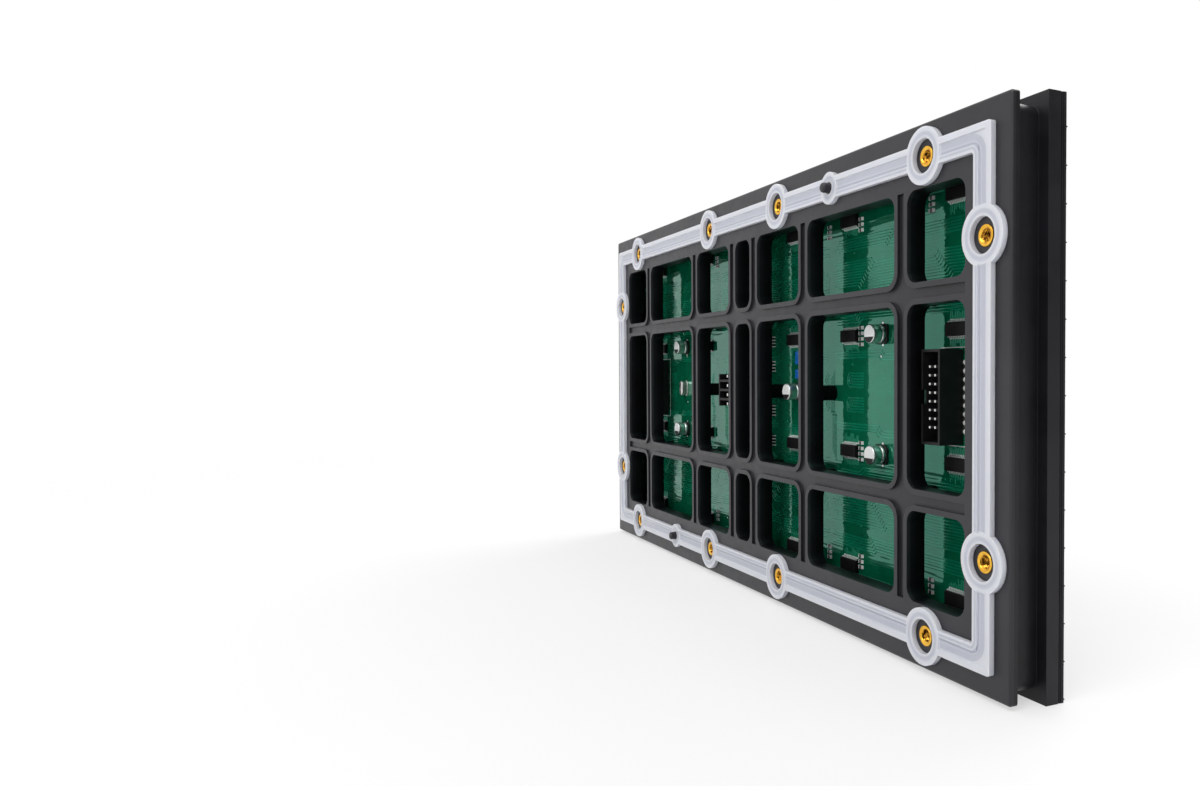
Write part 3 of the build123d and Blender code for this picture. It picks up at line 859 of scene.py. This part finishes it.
def inserts():
    """Turned sleeves with a rounded mouth and a thread that winds down the bore."""
    bm = bmesh.new()
    sleeve = (
        (INSERT_RADIUS, INSERT_FRONT),
        (INSERT_RADIUS, INSERT_REAR + 0.14),
        (INSERT_RADIUS - 0.04, INSERT_REAR + 0.04),
        (INSERT_RADIUS - 0.14, INSERT_REAR),
        (2.32, INSERT_REAR),
        (2.24, INSERT_REAR + 0.03),
        (THREAD_RADIUS + THREAD_DEPTH + 0.04, INSERT_REAR + 0.2),
    )
    for x, z in INSERTS:
        rows = [verts_at(bm, circle(x, z, radius, INSERT_STEPS), depth) for radius, depth in sleeve]
        for level in range(THREAD_TURNS * THREAD_LEVELS):
            depth = INSERT_REAR + 0.3 + level * THREAD_PITCH / THREAD_LEVELS
            rows.append(verts_at(bm, thread_outline(x, z, level / THREAD_LEVELS), depth))
        skin(bm, rows[: len(sleeve) + 1])
        # The thread in the bore takes the brass with painted shade
        skin(bm, rows[len(sleeve) :], 1)
        bm.faces.new(rows[0])
        bm.faces.new(rows[-1][::-1]).material_index = 1
    finish_piece("inserts_with_thread", bm, [BRASS, BORE_PAINTED_SHADE], ["threaded_inserts"], 50)


# Chips with bent leads

def gull_lead(bm, x, z, axis, side, width, body_half, tip_half, start_depth):
    """Bent lead from a chip's body down to the board, which runs out along an axis."""
    knee = body_half + 0.35 * (tip_half - body_half)
    heel = body_half + 0.55 * (tip_half - body_half)
    bends = (
        (body_half - 0.1, start_depth),
        (knee, start_depth),
        (heel, BOARD_REAR - LEAD_THICKNESS - 0.04),
        (tip_half, BOARD_REAR - LEAD_THICKNESS - 0.02),
    )
    rows = []
    for reach, depth in bends:
        row = []
        for across, drop in rectangle(-width / 2, width / 2, 0, LEAD_THICKNESS):
            offset = (side * reach, across) if axis == "x" else (across, side * reach)
            row.append(bm.verts.new(point(x + offset[0], depth + drop, z + offset[1])))
        rows.append(row)
    skin(bm, rows)
    bm.faces.new(rows[0])
    bm.faces.new(rows[-1][::-1])


def chip_body(bm, x, z, half_x, half_z, rear, mark_x, mark_z):
    """Moulded body with drafted sides, a parting line and a dimple at its first lead."""

    def outline(inset):
        wide, high = half_x - inset, half_z - inset
        return rectangle(x - wide, x + wide, z - high, z + high)

    bottom = BOARD_REAR - 0.1
    middle = (bottom + rear) / 2
    rings = [
        (outline(CHIP_DRAFT), bottom),
        (outline(0), middle + 0.05),
        (outline(0), middle - 0.05),
        (outline(CHIP_DRAFT * 0.8), rear + 0.08),
        (outline(CHIP_DRAFT * 0.8 + 0.1), rear),
    ]
    loft(bm, rings)
    dimple = ((0.42, rear + 0.05), (0.42, rear - 0.012), (0.32, rear - 0.012), (0.32, rear + 0.02))
    turned(bm, x + mark_x, z + mark_z, dimple, 16)


def chips(kind, places, half_x, half_z, rear, mark_x, mark_z, axis, count, pitch, width, span):
    """Chips of one kind, with a row of leads that run out along an axis on either side."""
    bodies, leads = bmesh.new(), bmesh.new()
    body_half = half_x if axis == "x" else half_z
    for x, z in places:
        chip_body(bodies, x, z, half_x, half_z, rear, mark_x, mark_z)
        for number in range(count):
            across = (number - (count - 1) / 2) * pitch
            root = (x, z + across) if axis == "x" else (x + across, z)
            for side in (-1, 1):
                gull_lead(leads, *root, axis, side, width, body_half, span / 2, rear + LEAD_DROP)
    finish_piece(f"{kind}_chip_bodies", bodies, [CHIP], [f"{kind}_chips"])
    leads_node = f"{kind}_chip_leads"
    finish_piece(f"{kind}_chip_bent_leads", leads, [SOLDER], [leads_node])


# Capacitors, crystal and chip parts

def can_base(bm, tabs, x, z):
    """Base of a can with two cut corners, and the tabs that stick out under it."""
    half, cut = CAN_BASE_HALF, CAN_BASE_CUT
    base_top = BOARD_REAR - CAN_BASE
    outline = [
        (x - half + cut, z - half),
        (x + half, z - half),
        (x + half, z + half),
        (x - half + cut, z + half),
        (x - half, z + half - cut),
        (x - half, z - half + cut),
    ]
    inner = [(x + (px - x) * 0.965, z + (pz - z) * 0.965) for px, pz in outline]
    loft(bm, [(outline, BOARD_REAR), (outline, base_top + 0.1), (inner, base_top)])
    for side in (-1, 1):
        low, high = sorted((z + side * (half - 0.3), z + side * (half + 0.75)))
        block(tabs, x - 0.4, x + 0.4, low, high, BOARD_REAR - 0.2, BOARD_REAR, 0.06)


def can_body(bm, x, z):
    """Drawn can with a rolled neck, open where its end goes."""
    foot = BOARD_REAR - CAN_BASE
    section = (
        (CAN_RADIUS - 0.25, foot),
        (CAN_RADIUS - 0.06, foot - 0.1),
        (CAN_RADIUS, foot - 0.3),
        (CAN_RADIUS, foot - 0.85),
        (CAN_RADIUS - 0.1, foot - 1.0),
        (CAN_RADIUS - 0.25, foot - 1.15),
        (CAN_RADIUS - 0.25, foot - 1.4),
        (CAN_RADIUS - 0.1, foot - 1.6),
        (CAN_RADIUS, foot - 1.75),
        (CAN_RADIUS, CAN_REAR + 0.35),
        (CAN_RADIUS - 0.1, CAN_REAR + 0.12),
        (CAN_RIM, CAN_REAR),
    )
    turned(bm, x, z, section, CAN_STEPS, caps=(True, False))


def can_end(bm, x, z):
    """Flat end of a can, in two parts: the bare one above and the printed one below."""
    cut = z + CAN_PRINT_TOP
    half_chord = math.sqrt(CAN_RIM**2 - CAN_PRINT_TOP**2)
    for side, material in ((1, 1), (-1, 2)):
        rim = circle(x, z, CAN_RIM, CAN_STEPS, -side * math.pi / 2)
        part = [(px, pz) for px, pz in rim if side * (pz - cut) > 0]
        chord = [(x + side * half_chord, cut), (x - side * half_chord, cut)]
        outline = [chord[0], *part, chord[1]]
        bm.faces.new(verts_at(bm, outline[::side], CAN_REAR)).material_index = material


def cans():
    """Electrolytic capacitors: cans on their bases, with tabs on the board."""
    bodies, bases, tabs = bmesh.new(), bmesh.new(), bmesh.new()
    for x, z in CANS:
        can_base(bases, tabs, x, z)
        can_body(bodies, x, z)
        can_end(bodies, x, z)
    finish_piece("can_bodies", bodies, [CAN, CAN_TOP, CHIP], ["capacitor_cans"], 50)
    finish_piece("can_bases", bases, [CONNECTOR], ["capacitor_bases"])
    finish_piece("can_tabs", tabs, [TIN])


def film_capacitors():
    """Two dipped blocks with rounded edges."""
    bm = bmesh.new()
    for low, high in FILM_SPANS:
        rings = []
        for less, corner, depth in (
            (0.0, 0.7, BOARD_REAR),
            (0.0, 0.7, FILM_REAR + 0.5),
            (0.4, 0.6, FILM_REAR + 0.14),
            (1.0, 0.5, FILM_REAR),
        ):
            size = (FILM_WIDTH - less, high - low - less)
            rings.append((rounded_rectangle(FILM_X, (low + high) / 2, *size, corner, 4), depth))
        loft(bm, rings)
    finish_piece("film_capacitor_bodies", bm, [BLUE], ["film_capacitors"], 60)


def crystal():
    """Crystal in a flanged can with round ends."""
    bm = bmesh.new()
    sizes = (
        (4.7, 8.0, BOARD_REAR),
        (4.7, 8.0, BOARD_REAR - 0.35),
        (3.9, 7.2, BOARD_REAR - 0.45),
        (3.8, 7.1, CRYSTAL_REAR + 0.25),
        (3.6, 6.9, CRYSTAL_REAR + 0.06),
        (3.2, 6.5, CRYSTAL_REAR),
    )
    rings = []
    for width, height, depth in sizes:
        corner = width / 2 - 0.01
        rings.append((rounded_rectangle(CRYSTAL_X, CRYSTAL_Z, width, height, corner, 8), depth))
    loft(bm, rings)
    finish_piece("crystal_can", bm, [TIN], ["crystal"], 50)


def chip_parts():
    """Chip parts: a ceramic body with tinned ends on fillets of solder."""
    bm = bmesh.new()
    top = CHIP_PART_REAR
    for x, z in CHIP_PARTS:
        half = CHIP_LENGTH / 2
        low, high = z - CHIP_WIDTH / 2, z + CHIP_WIDTH / 2
        left, right = x - half + 0.3, x + half - 0.3
        block(bm, left, right, low + 0.03, high - 0.03, top + 0.02, BOARD_REAR, 0.03)
        for side in (-1, 1):
            left, right = sorted((x + side * (half - 0.42), x + side * half))
            block(bm, left, right, low, high, top, BOARD_REAR, 0.06, 1)
            left, right = sorted((x + side * (half - 0.1), x + side * (half + 0.45)))
            block(bm, left, right, low, high, BOARD_REAR - 0.12, BOARD_REAR, 0.1, 1)
    finish_piece("chip_parts", bm, [CERAMIC, SOLDER], ["chip_resistors"])


# Tracks, holes and white lines on the board

def track(bm, path, width=TRACK_WIDTH, height=TRACK_HEIGHT):
    """Raised line along a path of points on the board's rear side."""
    for (x1, z1), (x2, z2) in zip(path, path[1:]):
        run = math.hypot(x2 - x1, z2 - z1)
        if run < SHORTEST_RUN:
            continue
        ux, uz = (x2 - x1) / run, (z2 - z1) / run
        over = 0.35 * width
        start = (x1 - ux * over, z1 - uz * over)
        end = (x2 + ux * over, z2 + uz * over)
        corners = ((*start, 1), (*end, 1), (*end, -1), (*start, -1))
        rings = []
        for half, depth in ((width / 2 + 0.05, BOARD_REAR), (width / 2 - 0.03, BOARD_REAR - height)):
            outline = [(px + side * uz * half, pz - side * ux * half) for px, pz, side in corners]
            rings.append((outline, depth))
        loft(bm, rings, caps=(False, True))


def via(bm, x, z, material=0):
    """Small ring round a plated hole."""
    section = ((0.42, 0.0), (0.34, 0.07), (0.17, 0.07), (0.13, 0.01))
    rings = [(circle(x, z, radius, 10), BOARD_REAR - rise) for radius, rise in section]
    loft(bm, rings, material)


def bundle(bm, rng, left, right, low, count):
    """Parallel tracks along X that end in steps, with a slanted jog somewhere on the way."""
    jog_at = rng.uniform(left + 0.25 * (right - left), left + 0.75 * (right - left))
    shift = rng.choice((-1.6, -0.9, 0.0, 0.9, 1.6))
    for number in range(count):
        z = low + number * TRACK_GAP
        start = left + rng.choice((0.0, 0.0, 1.3, 2.6, 4.0))
        end = right - rng.choice((0.0, 0.0, 1.3, 2.6, 4.0))
        bend = jog_at - number * TRACK_GAP * (1 if shift > 0 else -1)
        path = [(start, z), (bend, z), (bend + abs(shift), z + shift), (end, z + shift)]
        if not start + 1 < bend < end - 3:
            path = [(start, z), (end, z)]
        track(bm, path)
        if start > left:
            via(bm, *path[0])
        if end < right:
            via(bm, *path[-1])


def turn_back(bm, x, z, reach, count, side):
    """Tracks that run out along X and turn back, one inside the other."""
    for number in range(count):
        half = (number + 0.5) * TRACK_GAP
        cut = min(half, 0.8)
        far = x + side * (reach + half)
        path = [
            (x, z + half),
            (far - side * cut, z + half),
            (far, z + half - cut),
            (far, z - half + cut),
            (far - side * cut, z - half),
            (x, z - half),
        ]
        track(bm, path)


def board_details():
    """Tracks under the lacquer, plated holes, and the first stretch of track at each lead."""
    rng = random.Random(TRACK_SEED)
    bm = bmesh.new()
    for left, right in TRACK_BANDS:
        for side in (-1, 1):
            for middle, below, count, inset in SIDE_BUNDLES:
                bundle(bm, rng, left + inset, right - inset, side * middle - below, count)
        for low in MIDDLE_BUNDLES:
            bundle(bm, rng, left + 1, right - 1, low, 3)
    for x, side in TURN_BACKS:
        for z in (-4.0, 4.6):
            turn_back(bm, x, z, rng.uniform(4.0, 11.0), 3, side)
    for x in RISERS:
        for number in range(4):
            px = x + number * 0.8
            track(bm, [(px, number - 24.0), (px, -8.0), (px + 1.2, -6.8), (px + 1.2, 8.0 - number)])
    for _ in range(HOLE_TRIES):
        x, z = rng.uniform(-150, 150), rng.uniform(-70, 70)
        if math.sin(x * 0.7) * math.sin(z * 0.9) > -0.2:
            via(bm, x, z, rng.choice((0, 0, 0, 0, 1)))
    for x, z in DRIVERS:
        for number in range(DRIVER_LEADS):
            across = x + (number - (DRIVER_LEADS - 1) / 2) * DRIVER_LEAD_PITCH
            for side in (-1, 1):
                edge = z + side * (DRIVER_SPAN / 2 - 0.5)
                out = edge + side * rng.choice((1.6, 2.2, 2.8, 3.4))
                track(bm, [(across, edge), (across, out)], LEAD_TRACK_WIDTH)
    finish_piece("board_tracks", bm, [TRACK, TIN])


def white_lines():
    """Plain outlines printed round the parts."""
    bm = bmesh.new()
    frames = ((-HEADER_X, 6.6, 14.6), (HEADER_X, 6.6, 14.6), (27.0, 7.3, 7.4))
    for x, half_x, half_z in frames:
        corners = rectangle(x - half_x, x + half_x, -half_z, half_z)
        track(bm, corners + corners[:1], *LINE_SIZE)
    track(bm, [(FILM_X + 5.4, 1.5), (FILM_X + 5.4, 17.5)], *LINE_SIZE)
    finish_piece("white_outlines", bm, [SILK])


def solder_joints():
    """Domes of solder beside each header's wall."""
    bm = bmesh.new()
    section = ((0.85, 0.0), (0.8, 0.25), (0.6, 0.55), (0.3, 0.72))
    dome = [(radius, BOARD_REAR - rise) for radius, rise in section]
    for side in (-1, 1):
        for number in range(SOLDER_COUNT):
            z = (number - (SOLDER_COUNT - 1) / 2) * SOLDER_PITCH
            turned(bm, side * (HEADER_X + SOLDER_X), z, dome, 14)
    finish_piece("header_solder_joints", bm, [SOLDER], smooth_deg=80)


def key_walls():
    """Lower part of the wall at each header's key notch, which is open only near the rim."""
    bm = bmesh.new()
    near, far = HEADER_REAR + KEY_OPENING, HEADER_REAR + KEY_DEPTH
    for side in (-1, 1):
        left, right = sorted((side * (HEADER_X - KEY_WALL_FAR), side * (HEADER_X - KEY_WALL_NEAR)))
        block(bm, left, right, -KEY_WALL_HALF, KEY_WALL_HALF, near, far, 0.05)
    finish_piece("header_key_walls", bm, [CONNECTOR])


mask_half(-1, "mask_left")
mask_half(1, "mask_right")
lamps()
screws()
inserts()
chips(
    kind="driver",
    places=DRIVERS,
    half_x=DRIVER_LENGTH / 2,
    half_z=DRIVER_WIDTH / 2,
    rear=DRIVER_REAR,
    mark_x=1.1 - DRIVER_LENGTH / 2,
    mark_z=1.0 - DRIVER_WIDTH / 2,
    axis="z",
    count=DRIVER_LEADS,
    pitch=DRIVER_LEAD_PITCH,
    width=0.34,
    span=DRIVER_SPAN,
)
chips(
    kind="buffer",
    places=[(BUFFER_X, z) for z in BUFFER_Z],
    half_x=BUFFER_WIDTH / 2,
    half_z=BUFFER_LENGTH / 2,
    rear=BUFFER_REAR,
    mark_x=0.9 - BUFFER_WIDTH / 2,
    mark_z=BUFFER_LENGTH / 2 - 1.0,
    axis="x",
    count=4,
    pitch=1.27,
    width=0.42,
    span=BUFFER_SPAN,
)
cans()
film_capacitors()
crystal()
chip_parts()
board_details()
white_lines()
solder_joints()
key_walls()


# Solids that keep their own mesh

def round_edges(solid, radius, segments):
    """Round the sharp edges of a solid, once its flat faces are whole again."""
    merge = solid.modifiers.new("flat_faces", "DECIMATE")
    merge.decimate_type = "DISSOLVE"
    merge.angle_limit = math.radians(1)
    edge = solid.modifiers.new("rounded_edges", "BEVEL")
    edge.width = radius * MM
    edge.segments = segments
    edge.limit_method = "ANGLE"
    edge.angle_limit = math.radians(50)
    edge.harden_normals = True


# Each is (node, material, edge radius, segments of the round)
SOLIDS = (
    ("housing", HOUSING, 0.0, 0),
    ("sealing_gasket", SILICONE, 0.35, 3),
    ("circuit_board", LAMINATE, 0.0, 0),
    ("input_header", CONNECTOR, 0.12, 1),
    ("output_header", CONNECTOR, 0.12, 1),
    ("input_header_pins", PIN, 0.12, 1),
    ("output_header_pins", PIN, 0.12, 1),
    ("power_connector", CONNECTOR, 0.12, 1),
    ("power_connector_pins", TIN, 0.2, 1),
)
for node_name, node_material, edge_radius, edge_segments in SOLIDS:
    node_object = frame["nodes"][node_name]
    node_object.data.materials.clear()
    node_object.data.materials.append(node_material)
    if edge_radius:
        round_edges(node_object, edge_radius, edge_segments)


# Stage, light and camera. The floor and the lights are measured in metres

CAMERA_PLACE = (-343.9, 163.46, 6.72)
CAMERA_AZIMUTH = 242.608
CAMERA_PITCH = -1.314
CAMERA_ROLL = -0.1
CAMERA_LENS = 28.365
CAMERA_SHIFT_X = -0.1458
CAMERA_SHIFT_Y = 0.0025
FLOOR_HALF = 12.0
FLOOR_GAP = 0.05
AMBIENT = 0.55
DIM_SIDE = (-0.85, -0.53, 0.0)
DIM_LEVEL = 0.2
WHITE = (1, 1, 1, 1)
LIGHTS = (
    ("key", (-0.5, 0.9, 1.1), 0.9, 9.0),
    ("front_key", (0.5, -1.0, 1.0), 0.9, 8.0),
    ("top", (0.0, 0.0, 1.6), 1.2, 6.0),
)


def camera():
    """Camera at the photograph's place for the rear view."""
    data = bpy.data.cameras.new("camera")
    data.lens = CAMERA_LENS
    data.sensor_width = 36.0
    data.shift_x = CAMERA_SHIFT_X
    data.shift_y = CAMERA_SHIFT_Y
    data.clip_start = 0.01
    data.clip_end = 50.0
    obj = new_object("camera", data)
    obj.location = Vector(CAMERA_PLACE) * MM
    tilt = math.radians(90 + CAMERA_PITCH)
    turn = math.radians(CAMERA_AZIMUTH)
    aim = Euler((tilt, 0, turn)).to_matrix() @ Euler((0, 0, math.radians(CAMERA_ROLL))).to_matrix()
    obj.rotation_euler = aim.to_euler()
    bpy.context.scene.camera = obj


def seen_directly(tree):
    """One for rays that show the surroundings to the camera, straight, mirrored or through."""
    path = tree.nodes.new("ShaderNodeLightPath")
    value = path.outputs["Is Camera Ray"]
    for label in ("Is Glossy Ray", "Is Transmission Ray"):
        value = arithmetic(tree, "MAXIMUM", value, path.outputs[label])
    return value


def stage():
    """Pale floor: it takes the module's shadow, and fades to plain white far away."""
    bm = bmesh.new()
    ground = (HOUSING_LOW[2] - FLOOR_GAP) * MM
    corners = rectangle(-FLOOR_HALF, FLOOR_HALF, -FLOOR_HALF, FLOOR_HALF)
    bm.faces.new([bm.verts.new((x, y, ground)) for x, y in corners])
    floor = mesh_object("floor", bm)
    mat, tree, shader = new_material("floor", rough=0.9)
    vary(tree, shader, "Base Color", noise(tree, 3, 2), 0.90, 0.93)
    coords = tree.nodes.new("ShaderNodeTexCoord")
    reach = tree.nodes.new("ShaderNodeVectorMath")
    reach.operation = "LENGTH"
    tree.links.new(coords.outputs["Object"], reach.inputs[0])
    fade = map_range(tree, reach.outputs["Value"], 0.15, 0.9, 0.55, 1.0, "SMOOTHSTEP")
    share = arithmetic(tree, "MULTIPLY", fade, seen_directly(tree))
    glow = tree.nodes.new("ShaderNodeEmission")
    glow.inputs["Color"].default_value = WHITE
    output = next(node for node in tree.nodes if node.type == "OUTPUT_MATERIAL")
    surface = mixed(tree, share, shader.outputs[0], glow.outputs[0])
    tree.links.new(surface, output.inputs["Surface"])
    floor.data.materials.append(mat)


def world():
    """White surroundings, dimmer for mirrored rays that go towards the lamp side's left."""
    made = bpy.data.worlds.new("studio")
    bpy.context.scene.world = made
    made.use_nodes = True
    tree = made.node_tree
    tree.nodes.clear()
    coords = tree.nodes.new("ShaderNodeTexCoord")
    along = tree.nodes.new("ShaderNodeVectorMath")
    along.operation = "DOT_PRODUCT"
    along.inputs[1].default_value = DIM_SIDE
    tree.links.new(coords.outputs["Generated"], along.inputs[0])
    fall = map_range(tree, along.outputs["Value"], 0.1, 0.95, 1.0, DIM_LEVEL, "SMOOTHSTEP")
    path = tree.nodes.new("ShaderNodeLightPath")
    light = tree.nodes.new("ShaderNodeBackground")
    light.inputs["Color"].default_value = WHITE
    light.inputs["Strength"].default_value = AMBIENT
    backdrop = tree.nodes.new("ShaderNodeBackground")
    backdrop.inputs["Color"].default_value = WHITE
    brightness = arithmetic(tree, "MAXIMUM", fall, path.outputs["Is Camera Ray"])
    tree.links.new(brightness, backdrop.inputs["Strength"])
    output = tree.nodes.new("ShaderNodeOutputWorld")
    surface = mixed(tree, seen_directly(tree), light.outputs[0], backdrop.outputs[0])
    tree.links.new(surface, output.inputs["Surface"])


def area_light(name, place, size, watts):
    """Soft square light aimed at the middle of the module."""
    data = bpy.data.lights.new(name, "AREA")
    data.shape = "SQUARE"
    data.size = size
    data.energy = watts
    obj = new_object(name, data)
    obj.location = place
    aim = Vector((0, 0, 0)) - Vector(place)
    obj.rotation_euler = aim.to_track_quat("-Z", "Y").to_euler()


camera()
stage()
world()
for light_values in LIGHTS:
    area_light(*light_values)

scene = bpy.context.scene
scene.view_settings.view_transform = "Standard"
